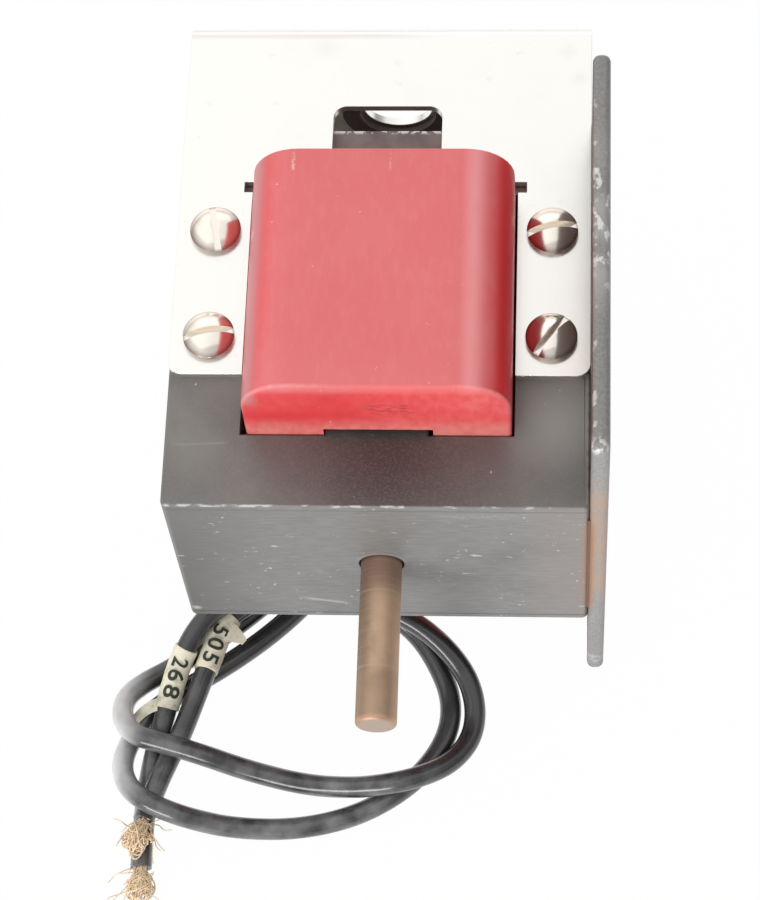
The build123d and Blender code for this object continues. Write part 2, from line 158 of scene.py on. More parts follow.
# Shader maths
class Value:
    """One output of a node; sums, differences and products of values add their Math nodes."""

    def __init__(self, tree, socket):
        self.tree = tree
        self.socket = socket

    def maths(self, operation, first, second):
        return self.tree.node("ShaderNodeMath", {"operation": operation}, {0: first, 1: second})

    def __add__(self, other):
        return self.maths("ADD", self, other)

    def __sub__(self, other):
        return self.maths("SUBTRACT", self, other)

    def __rsub__(self, other):
        return self.maths("SUBTRACT", other, self)

    def __mul__(self, other):
        return self.maths("MULTIPLY", self, other)

    __radd__ = __add__
    __rmul__ = __mul__


class Tree:
    """A node tree to which one method adds every node."""

    def __init__(self, tree):
        self.tree = tree

    def node(self, kind, settings=None, inputs=None, output=0):
        """Adds one node: its settings first, then the values or links of its sockets."""
        made = self.tree.nodes.new(kind)
        for name, value in (settings or {}).items():
            setattr(made, name, value)
        for key, value in (inputs or {}).items():
            if isinstance(value, Value):
                self.tree.links.new(value.socket, made.inputs[key])
            else:
                made.inputs[key].default_value = value
        return Value(self, made.outputs[output]) if made.outputs else None

    def split(self, vector):
        """The three parts of a vector."""
        first = self.node("ShaderNodeSeparateXYZ", inputs={0: vector})
        return tuple(Value(self, socket) for socket in first.socket.node.outputs)

    def ramp(self, value, low, high):
        """0 below low, 1 above high, and smooth between; low may be the larger one."""
        return self.node("ShaderNodeMapRange", {"interpolation_type": "SMOOTHSTEP"}, {
            "Value": value, "From Min": low, "From Max": high})

    def size(self, value):
        """The value without its sign."""
        return self.node("ShaderNodeMath", {"operation": "ABSOLUTE"}, {0: value})

    def near(self, value, middle, reach):
        """1 at the middle, and 0 from reach away."""
        return self.ramp(self.size(value - middle), reach, 0.0)

    def between(self, value, low, high, soft):
        """1 between low and high, falling to 0 over a soft width inside each end."""
        return self.ramp(value, low, low + soft) * self.ramp(value, high, high - soft)

    def mix(self, first, second, factor):
        """A colour that goes from first to second as factor goes from 0 to 1."""
        made = self.node("ShaderNodeMix", {"data_type": "RGBA"}, {"Factor": factor}).socket.node
        sockets = [s for s in made.inputs if s.type == "RGBA"]
        for socket, colour in zip(sockets, (first, second)):
            if isinstance(colour, Value):
                self.tree.links.new(colour.socket, socket)
            else:
                socket.default_value = (*colour, 1.0)
        return Value(self, next(s for s in made.outputs if s.type == "RGBA"))


class Finish(Tree):
    """A procedural material on Object coordinates, which are read in millimetres."""

    def __init__(self, name, metallic=0.0, specular=0.5, coat=0.0):
        self.material = bpy.data.materials.new(name)
        self.material.use_nodes = True
        super().__init__(self.material.node_tree)
        self.shader = next(n for n in self.tree.nodes if n.type == "BSDF_PRINCIPLED")
        self.colour = None
        for socket, value in (("Metallic", metallic), ("Specular IOR Level", specular),
                              ("Coat Weight", coat), ("Coat Roughness", 0.2), ("Coat IOR", 1.65)):
            self.shader.inputs[socket].default_value = value
        place = self.node("ShaderNodeTexCoord", output="Object")
        self.place = self.node("ShaderNodeVectorMath", {"operation": "SCALE"},
                               {0: place, "Scale": 1 / MM})
        self.x, self.y, self.z = self.split(self.place)

    def noise(self, scale, detail=3.0, stretch=(1, 1, 1), shift=0.0):
        """Soft noise from 0 to 1, with about scale lumps per millimetre."""
        place = self.node("ShaderNodeMapping", inputs={
            "Vector": self.place, "Location": (shift, shift, shift), "Scale": stretch})
        return self.node("ShaderNodeTexNoise", inputs={
            "Vector": place, "Scale": scale, "Detail": detail})

    def patches(self, scale, share, stretch=(1, 1, 1), shift=0.0):
        """Broken patches: 1 where the noise is above share, 0 elsewhere."""
        return self.ramp(self.noise(scale, 5.0, stretch, shift), share, share + 0.07)

    def away(self, centre):
        """How far the surface is from a point."""
        return self.node("ShaderNodeVectorMath", {"operation": "DISTANCE"},
                         {0: self.place, 1: centre}, output="Value")

    def off_axis(self):
        """How far the surface is from the rod's axis."""
        flat = self.node("ShaderNodeVectorMath", {"operation": "MULTIPLY"},
                         {0: self.place, 1: (1.0, 0.0, 1.0)})
        return self.node("ShaderNodeVectorMath", {"operation": "LENGTH"}, {0: flat}, output="Value")

    def spot(self, centre, reach):
        """1 at a point, and 0 from reach away."""
        return self.ramp(self.away(centre), reach, 0.0)

    def paint(self, colour, mask):
        """Lays a colour over the finish where the mask is 1."""
        self.colour = self.mix(self.colour, colour, mask)

    def done(self, roughness, height, depth):
        """Links the colour, the roughness and a relief, in which a height of 1 is depth millimetres."""
        normal = self.node("ShaderNodeBump", inputs={
            "Height": height, "Strength": 1.0, "Distance": depth * MM})
        for name, value in (("Base Color", self.colour), ("Roughness", roughness), ("Normal", normal)):
            self.tree.links.new(value.socket, self.shader.inputs[name])
        return self.material


def shade(colour, factor):
    """A colour made lighter or darker, at most white."""
    return tuple(min(1.0, factor * c) for c in colour)


def rubbed_front(f, top, mottle, grain, brush):
    """The field's front: brushed grey, darker on the left and browner on the right, with dark lines
    along the outer plates, a slanting scuff and a pale smudge at the upper right."""
    rubbed = tuple(colours().rubbed_steel)
    scuff = f.between(f.x, -17.0, -6.0, 3.0) * f.near(f.z + 0.29 * f.x, -20.9, 0.9)
    smudge = f.between(f.x, 8.0, 29.0, 6.0) * f.near(f.z, top - 3.6, 1.8) * f.ramp(grain, 0.35, 0.60)
    face = f.mix(shade(rubbed, 0.93), shade(rubbed, 1.12), f.ramp(brush, 0.30, 0.70))
    for tone, mask in (
            (shade(rubbed, 0.74), f.ramp(mottle, 0.50, 0.72) * 0.5),
            (shade(rubbed, 0.70), f.ramp(f.x, -14.0, -40.0) * 0.75),
            ((0.33, 0.285, 0.265), f.ramp(f.x, 22.0, 36.0) * 0.5),
            ((0.10, 0.095, 0.09), f.near(f.z, top - 1.7, 0.4) * 0.4),
            ((0.075, 0.07, 0.07), f.near(f.z, 1.9 - top, 0.45) * 0.7),
            ((0.60, 0.59, 0.57), scuff * 0.55),
            ((0.42, 0.41, 0.40), smudge * 0.45)):
        face = f.mix(face, tone, mask)
    return face


def black_steel(name, laminated=False):
    """Blackened steel of the field: brown and mottled on top with painted shade in front of the coil,
    rubbed grey along the front, with white nicks, a worn front edge and, on the stack, fine lamination
    lines."""
    f = Finish(name, metallic=0.25)
    steel = tuple(colours().steel)
    right, top = (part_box("field_plate_top")[1][i] / MM for i in (0, 2))
    mottle = f.noise(0.07, 5.0)
    grain = f.noise(2.4, 4.0, shift=11.0)
    brush = f.noise(1.1, 5.0, (0.25, 1.0, 1.3))
    front = f.near(f.y, 0.0, 0.5)
    # Top, pale on the right, with painted shade in front of the coil
    f.colour = f.mix(shade(steel, 0.86), shade(steel, 1.16), f.ramp(mottle, 0.30, 0.70))
    f.paint(shade(steel, 2.3), f.spot((32.0, 17.0, top), 13.0) * 0.6)
    f.paint((0.050, 0.034, 0.033), f.spot((2.0, 8.0, top), 30.0) * 0.8)
    f.paint(shade(steel, 1.4), f.ramp(grain, 0.42, 0.72) * 0.2)
    # Sides, with the edges of the laminations
    side = f.ramp(f.size(f.x), right - 0.4, right - 0.1)
    layers = f.noise(1.0, 1.0, (0.02, 0.02, 1.56), 8.0)
    f.paint(shade(steel, 0.62), side * f.ramp(layers, 0.50, 0.60) * 0.7)
    f.paint(rubbed_front(f, top, mottle, grain, brush), front)
    # The seam to the mounting plate, tinted by the weld's heat, and a faint scratch on the top's left
    seam = f.near(f.x, right, 0.9) * f.ramp(f.z, top - 0.5, top)
    heat = front * f.near(f.x, right, 2.2) * f.between(f.z, -22.0, 22.0, 8.0)
    scratch = (f.between(f.x, -37.5, -25.5, 3.0) * f.near(f.y - 0.05 * f.x, 13.8, 0.4)
               * f.ramp(f.z, top - 0.2, top))
    f.paint((0.46, 0.38, 0.30), seam * f.patches(0.5, 0.42, shift=6.0) * 0.7)
    f.paint((0.45, 0.22, 0.11), heat * 0.7)
    f.paint((0.55, 0.53, 0.50), scratch * 0.15)
    # Bare metal along the front's top edge, in nicks and at the bore's rim
    bright = (0.80, 0.79, 0.77)
    edge = f.near(f.y, 0.0, 0.55) * f.near(f.z, top, 0.55)
    run = f.ramp(f.x, -12.0, -24.0) * 0.13 + f.noise(0.9, 4.0, (0.45, 1.0, 1.0), 3.0)
    clusters = f.patches(1.2, 0.655, (0.6, 1.0, 1.0), 7.0) * f.patches(0.13, 0.51, shift=2.0)
    chips = f.patches(0.42, 0.685, (0.5, 1.0, 1.4), 9.0)
    nicks = (clusters + chips) * front + f.patches(0.8, 0.73, shift=4.0)
    rim = f.near(f.off_axis(), 4.75, 0.4) * front * f.ramp(f.z, 0.0, 3.0)
    f.paint(bright, edge * f.ramp(run, 0.54, 0.66))
    f.paint(bright, (nicks + f.spot((-36.6, 0.0, -21.8), 1.4)) * 0.7)
    f.paint((0.50, 0.43, 0.37), rim * 0.6)
    height = brush * front + grain * 0.7
    if laminated:
        wave = f.node("ShaderNodeMath", {"operation": "SINE"}, {0: f.z * (2 * math.pi / LAMINATION)})
        height = height + wave * (0.12 + 0.6 * side)
    return f.done(0.42 + 0.14 * mottle, height, 0.04)


def plate_steel(name):
    """Grey, grainy plate with chipped edges, painted shade on its face towards the block and the brown
    stain of the weld's heat in front.
    """
    f = Finish(name, metallic=0.2)
    low, high = (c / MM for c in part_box("mounting_plate"))
    grain = f.noise(1.7, 5.0)
    mottle = f.noise(0.12, 4.0, shift=2.0)
    top = f.ramp(f.z, high.z - 1.2, high.z - 0.2)
    front = f.ramp(f.y, 1.2, -0.2)
    # Upper edge, paler in its middle, and the face towards the block painted dark brown as shade
    rubbed = f.between(f.y, 22.0, 66.0, 14.0) * f.ramp(mottle, 0.30, 0.65) * top
    inner = f.ramp(f.x, low.x + 0.25, low.x + 0.05) * f.ramp(f.y, 1.0, 4.0)
    f.colour = f.mix((0.225, 0.216, 0.209), (0.285, 0.279, 0.273), f.ramp(grain, 0.30, 0.70))
    f.paint((0.42, 0.41, 0.405), rubbed * 0.85)
    f.paint((0.085, 0.062, 0.054), inner * 0.8)
    # Front edge, stained by the weld's heat
    pale = f.mix((0.31, 0.305, 0.30), (0.42, 0.41, 0.40), f.ramp(grain, 0.30, 0.70))
    stain = front * f.between(f.z, -18.0, 43.0, 12.0) * f.ramp(mottle, 0.25, 0.60)
    rust = f.near(f.x, low.x, 1.6) * f.ramp(f.y, 3.0, -0.4) * f.between(f.z, -24.0, 24.0, 8.0)
    f.paint(pale, front * 0.85)
    f.paint((0.50, 0.355, 0.265), stain * 0.75)
    f.paint((0.42, 0.20, 0.09), rust * 0.8)
    # Chips down to bare metal
    white = (0.84, 0.83, 0.80)
    chips = f.patches(0.55, 0.555, (1.0, 0.6, 1.0), 1.0) * f.between(f.y, 26.0, 64.0, 10.0) * top
    rim = f.near(f.x, low.x + 0.4, 0.8) * f.patches(0.45, 0.56, shift=3.0) * f.ramp(f.y, 78.0, 60.0) * top
    tip = f.spot((low.x + 1.2, low.y + 0.8, high.z - 0.5), 2.6) * f.patches(0.9, 0.45, shift=8.0)
    foot = f.spot((low.x + 1.0, low.y + 0.4, low.z + 6.0), 3.2) * f.patches(0.7, 0.48)
    f.paint(white, chips * 0.7 + rim * 0.6)
    f.paint(white, tip + foot * 0.5)
    f.paint(white, f.patches(0.9, 0.71, shift=5.0) * 0.7)
    return f.done(0.46 + 0.14 * mottle, grain, 0.06)


def nickel(name, roughness=0.28, tint=(1.0, 1.0, 1.0), heads=()):
    """Satin nickel plating with faint smudges, a painted warm reflection along the rear bend and a warm
    tint at the right leg's foot; screw heads have dirt and painted contact shade round their rims."""
    f = Finish(name, metallic=1.0)
    base = tuple(c * t for c, t in zip(colours().nickel, tint))
    top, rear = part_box("guide_bracket")[1].z / MM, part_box("guide_bracket")[1].y / MM
    smudge = f.noise(0.05, 4.0)
    warm = f.ramp(f.x, 20.0, 38.0) * f.ramp(f.y, 70.0, 20.0)
    bend_reflection = f.near(f.y, rear - 2.4, 1.3) * f.ramp(f.z, top - 2.0, top - 0.3) * f.ramp(f.x, 14.0, -4.0)
    f.colour = f.mix(base, shade(base, 0.95), f.ramp(smudge, 0.5, 0.8))
    f.paint((0.92, 0.85, 0.78), warm * 0.6)
    f.paint(shade(base, 0.82), f.patches(0.22, 0.66, shift=5.0) * 0.3)
    # Painted warm reflection along the rear bend
    f.paint((0.66, 0.50, 0.46), bend_reflection * 0.35)
    for x, y, reach in ((1.5, 91.5, 1.3), (33.6, 94.0, 2.4), (35.8, 88.0, 2.6), (-12.0, 95.0, 4.0)):
        f.paint(shade(base, 0.68), f.spot((x, y, top), reach) * 0.16)
    # Dirt and painted contact shade round each screw head's rim
    for centre in heads:
        f.paint((0.30, 0.22, 0.19), f.near(f.away(centre), 4.8, 0.6) * 0.7)
    return f.done((roughness - 0.06) + 0.12 * smudge, f.noise(0.8, 4.0), 0.01)


def coil_red(name):
    """Red moulded plastic: a top paler by painted sheen, with cloudy streaks and a painted highlight along
    its right rounding; painted sheen on the left rounding, painted shade on the left wall and painted
    light on the right wall; a front that goes from bright red to pale on the right, worn pale edges, a
    pale foot and one dark scuff."""
    f = Finish(name, specular=0.4)
    low, high = (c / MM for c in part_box("coil_moulding"))
    middle = (low.x + high.x) / 2
    face, top_sheen = tuple(colours().coil_face), tuple(colours().coil_top_sheen)
    cloud = f.noise(0.10, 6.0)
    fine = f.noise(0.9, 5.0, (1.0, 0.35, 1.0), 3.0)
    speckle = f.noise(0.6, 5.0, (1.0, 1.0, 0.6), 2.0)
    top = f.ramp(f.z, high.z - 3.6, high.z - 0.4)
    # Top, paler as painted sheen, with a painted highlight along its right rounding
    f.colour = f.mix(face, shade(face, 0.85), f.ramp(cloud, 0.45, 0.75) * 0.6)
    f.paint(top_sheen, top)
    f.paint((0.80, 0.205, 0.21), top * f.ramp(cloud, 0.40, 0.70) * 0.6)
    f.paint((0.95, 0.38, 0.39), f.near(f.x, high.x - 6.8, 2.8) * top * 0.65)
    f.paint((0.84, 0.24, 0.24), f.ramp(fine, 0.45, 0.75) * top * 0.3)
    # Left rounding with painted sheen, left wall darkened as painted shade, right wall brightened as
    # painted light
    left = f.ramp(f.x, low.x + 4.0, low.x + 1.2) * f.ramp(f.z, high.z - 9.0, high.z - 5.0)
    shaded_wall = f.ramp(f.x, low.x + 0.6, low.x + 0.1) * f.ramp(f.z, high.z - 7.0, high.z - 10.0)
    f.paint((0.54, 0.29, 0.30), left * 0.7)
    f.paint((0.42, 0.08, 0.09), shaded_wall * 0.6)
    f.paint((0.97, 0.075, 0.09), f.ramp(f.x, high.x - 1.5, high.x - 0.3))
    # Front, its foot, its scuff and its worn upper edge
    front = f.near(f.y, low.y, 0.9)
    pale = f.ramp(f.x, -15.0, 10.0) * (0.45 + 0.55 * f.ramp(speckle, 0.30, 0.75))
    foot = f.ramp(f.z, 33.0, 26.5) * (0.60 + 0.40 * f.ramp(speckle, 0.30, 0.65))
    scuff = f.between(f.x, -3.0, 8.5, 3.0) * f.between(f.z, 33.0, 38.0, 1.4) * front
    ends = f.ramp(f.x, middle - 6.0, middle - 15.0) + f.ramp(f.x, middle + 12.0, middle + 18.0)
    worn = f.near(f.y, low.y + 0.35, 0.5) * f.ramp(f.z, 31.0, 37.0) * (0.04 + 0.50 * ends)
    f.paint((0.95, 0.155, 0.155), front * pale * 0.85)
    f.paint((0.93, 0.30, 0.27), front * foot * 0.9)
    f.paint((0.30, 0.05, 0.05), scuff * f.patches(1.1, 0.50, (0.5, 1.0, 1.2)) * 0.45)
    f.paint((0.93, 0.42, 0.41), worn * (0.6 + 0.4 * f.ramp(speckle, 0.42, 0.62)))
    # Specks, and two short marks on the top's rear
    specks = f.patches(0.8, 0.72, shift=9.0) + f.spot((-23.0, 47.5, 38.5), 1.6) * 0.8
    marks = f.between(f.y, 57.0, 62.0, 1.5) * (f.near(f.x, -15.5, 0.5) + f.near(f.x, 2.0, 0.3) * 0.4)
    f.paint((0.92, 0.70, 0.68), specks * 0.5)
    f.paint((0.90, 0.60, 0.57), marks * f.patches(1.2, 0.46) * 0.7)
    return f.done(0.34 + 0.22 * top + 0.08 * cloud, f.noise(0.5, 5.0), 0.03)


def bronze(name):
    """Turned bronze, browned by handling, with fine turning rings, worn bands, painted light and shade
    across it and a painted highlight on the nose's chamfer.
    """
    f = Finish(name, metallic=0.65)
    base = tuple(colours().bronze)
    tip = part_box("push_rod")[0].y / MM
    rings = f.noise(1.0, 4.0, (0.12, 5.0, 0.12))
    tarnish = f.noise(0.20, 4.0)
    # Bands along the rod: a painted highlight in the middle, painted shade on the left and painted light
    # on the right
    f.colour = f.mix(shade(base, 1.05), shade(base, 0.70), f.ramp(tarnish, 0.40, 0.72))
    f.paint(shade(base, 1.5), f.near(f.x, 1.0, 3.2) * f.ramp(f.y, -24.0, -16.0) * 0.6)
    f.paint(shade(base, 0.62), f.ramp(f.x, -0.8, -3.4) * 0.95)
    f.paint(shade(base, 1.35), f.ramp(f.x, 1.2, 3.6) * 0.6)
    # Rings round it: dark near the block, worn where it has rubbed; darker towards the tip, a painted
    # highlight on the nose's chamfer and a darker end face
    f.paint((0.30, 0.19, 0.145), f.ramp(f.y, -8.5, -3.0) * 0.75)
    f.paint(shade(base, 1.2), f.ramp(rings, 0.5, 0.8) * 0.4)
    for place, width, strength in ((-6.5, 0.3, 0.5), (-14.3, 0.25, 0.2), (-21.2, 0.4, 0.45)):
        f.paint((0.62, 0.50, 0.39), f.near(f.y, place, width) * strength)
    f.paint(shade(base, 0.8), f.ramp(f.y, -19.0, -24.0) * 0.7)
    # Painted highlight on the nose's chamfer
    f.paint((0.66, 0.40, 0.27), f.near(f.y, tip + 0.6, 0.8) * 0.7)
    f.paint((0.48, 0.37, 0.305), f.ramp(f.y, tip + 0.12, tip + 0.02))
    return f.done(0.42 + 0.12 * tarnish, rings, 0.02)


def lead_black(name):
    """Glossy black plastic insulation, greyed by dust in front, with a painted highlight on its left
    bends.
    """
    f = Finish(name, specular=0.2, coat=1.0)
    dust = f.ramp(f.noise(0.20, 4.0), 0.30, 0.75)
    worn = f.ramp(f.y, 0.0, -26.0) * f.ramp(f.x, 16.0, -2.0)
    bend_highlight = f.ramp(f.x, -47.0, -54.5)
    f.colour = f.mix(tuple(colours().lead), (0.19, 0.19, 0.195), dust * (0.08 + 0.87 * worn))
    # Painted highlight on the left bends
    f.paint((0.76, 0.76, 0.76), bend_highlight * (0.80 + 0.20 * dust))
    return f.done(0.40 + 0.20 * dust, f.noise(0.6, 3.0), 0.02)


def plunger_steel(name):
    """Browned steel of the plunger, with pale worn flecks along the rear edge of its head."""
    f = Finish(name, metallic=0.3)
    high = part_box("plunger_plate_top")[1] / MM
    mottle = f.noise(0.25, 4.0)
    edge = f.near(f.y, high.y, 0.9) * f.near(f.z, high.z, 0.9)
    f.colour = f.mix((0.145, 0.112, 0.105), (0.21, 0.172, 0.16), f.ramp(mottle, 0.30, 0.70))
    f.paint((0.85, 0.82, 0.78), edge * f.patches(0.9, 0.50))
    return f.done(0.42 + 0.12 * mottle, mottle, 0.02)


def tape(name):
    """Cream cloth tape, a little dirty, with a fine weave."""
    f = Finish(name, specular=0.25)
    base = tuple(colours().tape)
    dirt = f.noise(0.5, 5.0)
    f.colour = f.mix(shade(base, 1.08), shade(base, 0.72), f.ramp(dirt, 0.48, 0.72))
    return f.done(0.60 + 0.10 * dirt, f.noise(2.5, 3.0), 0.05)


def plain(name, base, metallic=0.0, roughness=0.5, scale=0.2, depth=0.02):
    """A simple finish with mild mottling, for pieces that hardly show."""
    f = Finish(name, metallic=metallic)
    mottle = f.noise(scale, 4.0)
    f.colour = f.mix(shade(base, 0.8), shade(base, 1.15), mottle)
    return f.done((roughness - 0.06) + 0.12 * mottle, f.noise(4 * scale, 4.0), depth)


# Meshes
def place(name, data):
    """A new object in the scene, at its origin."""
    thing = bpy.data.objects.new(name, data)
    bpy.context.scene.collection.objects.link(thing)
    return thing


def points_of(mesh):
    """The places of a mesh's vertices as an array, in metres."""
    points = np.zeros(len(mesh.vertices) * 3)
    mesh.vertices.foreach_get("co", points)
    return points.reshape(-1, 3)


def smooth(work, mesh):
    """Shades smooth, keeps edges sharp where the faces turn by the smoothing angle, and fills the mesh."""
    limit = math.radians(SMOOTH_ANGLE)
    for face in work.faces:
        face.smooth = True
    for edge in work.edges:
        edge.smooth = len(edge.link_faces) < 2 or edge.calc_face_angle(0.0) < limit
    work.to_mesh(mesh)
    work.free()


def grid_faces(rows, columns, wrap_rows, wrap_columns):
    """The quads between neighbouring points of a grid; a wrapped side joins its last line to its first."""
    r = np.arange(rows if wrap_rows else rows - 1)
    c = np.arange(columns if wrap_columns else columns - 1)
    r, c = np.meshgrid(r, c, indexing="ij")
    r1, c1 = (r + 1) % rows, (c + 1) % columns
    quads = np.stack([r * columns + c, r1 * columns + c, r1 * columns + c1, r * columns + c1], -1)
    return quads.reshape(-1, 4)


def surface(name, parts):
    """A piece from one or more grids of points, each with its row and column wrap, doubles merged."""
    points, faces, start = [], [], 0
    for grid, wrap_rows, wrap_columns in parts:
        rows, columns = grid.shape[:2]
        points.append(grid.reshape(-1, 3))
        faces.append(grid_faces(rows, columns, wrap_rows, wrap_columns) + start)
        start += rows * columns
    points, faces = np.concatenate(points) * MM, np.concatenate(faces)
    mesh = bpy.data.meshes.new(name)
    mesh.from_pydata(points.tolist(), [], faces.tolist())
    return finished(name, mesh)


def finished(name, mesh):
    """Merges doubles, points the faces outwards and shades smooth up to the smoothing angle."""
    work = bmesh.new()
    work.from_mesh(mesh)
    bmesh.ops.remove_doubles(work, verts=work.verts, dist=2e-6)
    bmesh.ops.dissolve_degenerate(work, edges=work.edges, dist=1e-7)
    bmesh.ops.recalc_face_normals(work, faces=work.faces)
    smooth(work, mesh)
    return place(name, mesh)


def merged_copy(name, node, width):
    """The merged shape of a CAD node, its sharp edges rounded over the given width."""
    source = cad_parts[node].data
    source.calc_loop_triangles()
    triangles = np.zeros(len(source.loop_triangles) * 3, int)
    source.loop_triangles.foreach_get("vertices", triangles)
    mesh = bpy.data.meshes.new(name)
    mesh.from_pydata(points_of(source).tolist(), [], triangles.reshape(-1, 3).tolist())
    work = bmesh.new()
    work.from_mesh(mesh)
    bmesh.ops.remove_doubles(work, verts=work.verts, dist=2e-6)
    bmesh.ops.dissolve_limit(work, angle_limit=math.radians(0.6), verts=work.verts, edges=work.edges,
                             delimit={"NORMAL"})
    smooth(work, mesh)
    piece = place(name, mesh)
    bevel = piece.modifiers.new("edges", "BEVEL")
    bevel.width = width
    bevel.segments = 3
    bevel.limit_method = "ANGLE"
    bevel.angle_limit = math.radians(SMOOTH_ANGLE)
    bevel.harden_normals = True
    weighted = piece.modifiers.new("normals", "WEIGHTED_NORMAL")
    weighted.keep_sharp = True
    return piece


def settle(piece, body, slot, material, *nodes):
    """Gives a piece its finish and its body, and hides the CAD nodes that it replaces; the slot is not
    used.
    """
    piece.data.materials.clear()
    piece.data.materials.append(material)
    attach(piece, body)
    if nodes:
        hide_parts(*nodes)
    return piece


def dress(node, material):
    """Gives a CAD node that keeps its own mesh a better finish."""
    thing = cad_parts[node]
    if not thing.data.materials:
        thing.data.materials.append(None)
    thing.material_slots[0].link = "OBJECT"
    thing.material_slots[0].material = material


def arc(centre, radius, start, end, count):
    """Points of an arc: the centre plus the radius times the cosine and sine of each angle in degrees."""
    angle = np.radians(np.linspace(start, end, count))
    return np.stack([centre[0] + radius * np.cos(angle), centre[1] + radius * np.sin(angle)], -1)


def rounded_rectangle(half_x, half_z, corner, count=10, sides=6):
    """A closed rounded rectangle, as quarter arcs joined by divided straight sides."""
    x, z = half_x - corner, half_z - corner
    turns = [arc(c, corner, s, s + 90, count)
             for c, s in (((x, z), 0), ((-x, z), 90), ((-x, -z), 180), ((x, -z), 270))]
    line = []
    for turn, following in zip(turns, turns[1:] + turns[:1]):
        share = np.linspace(0, 1, sides + 1)[1:-1, None]
        line += [turn, turn[-1] + (following[0] - turn[-1]) * share]
    return np.concatenate(line)


def lathe(profile, around, origin=(0.0, 0.0, 0.0), columns=64):
    """A profile of radius and place, turned about an axis: the radius times the cosine and sine of
    the angle, and the place along 'x', 'y' or 'z'."""
    angle = np.linspace(0, 2 * math.pi, columns, endpoint=False)
    radius, along = profile[:, :1], profile[:, 1:]
    a, b = radius * np.cos(angle), radius * np.sin(angle)
    c = np.broadcast_to(along, a.shape)
    order = {"x": (c, a, b), "y": (a, c, b), "z": (a, b, c)}[around]
    return np.stack(order, -1) + np.array(origin)


def frames(points):
    """Unit vectors at each point of a line: along it, level to its right, and up from it."""
    along = np.gradient(points, axis=0)
    along /= np.linalg.norm(along, axis=1, keepdims=True)
    side = np.cross(along, (0.0, 0.0, 1.0))
    side /= np.linalg.norm(side, axis=1, keepdims=True)
    return along, side, np.cross(side, along)


def around_line(points, radii, columns):
    """A closed tube: round each point a ring of side times cosine plus up times sine of the angle,
    times the radius; the middle of each end closes it."""
    _, side, up = frames(points)
    angle = np.linspace(0, 2 * math.pi, columns, endpoint=False)[None, :, None]
    ring = side[:, None] * np.cos(angle) + up[:, None] * np.sin(angle)
    rows = points[:, None] + ring * np.asarray(radii)[..., None]
    caps = [np.broadcast_to(end, (1, columns, 3)) for end in (points[0], points[-1])]
    return np.concatenate([caps[0], rows, caps[1]])


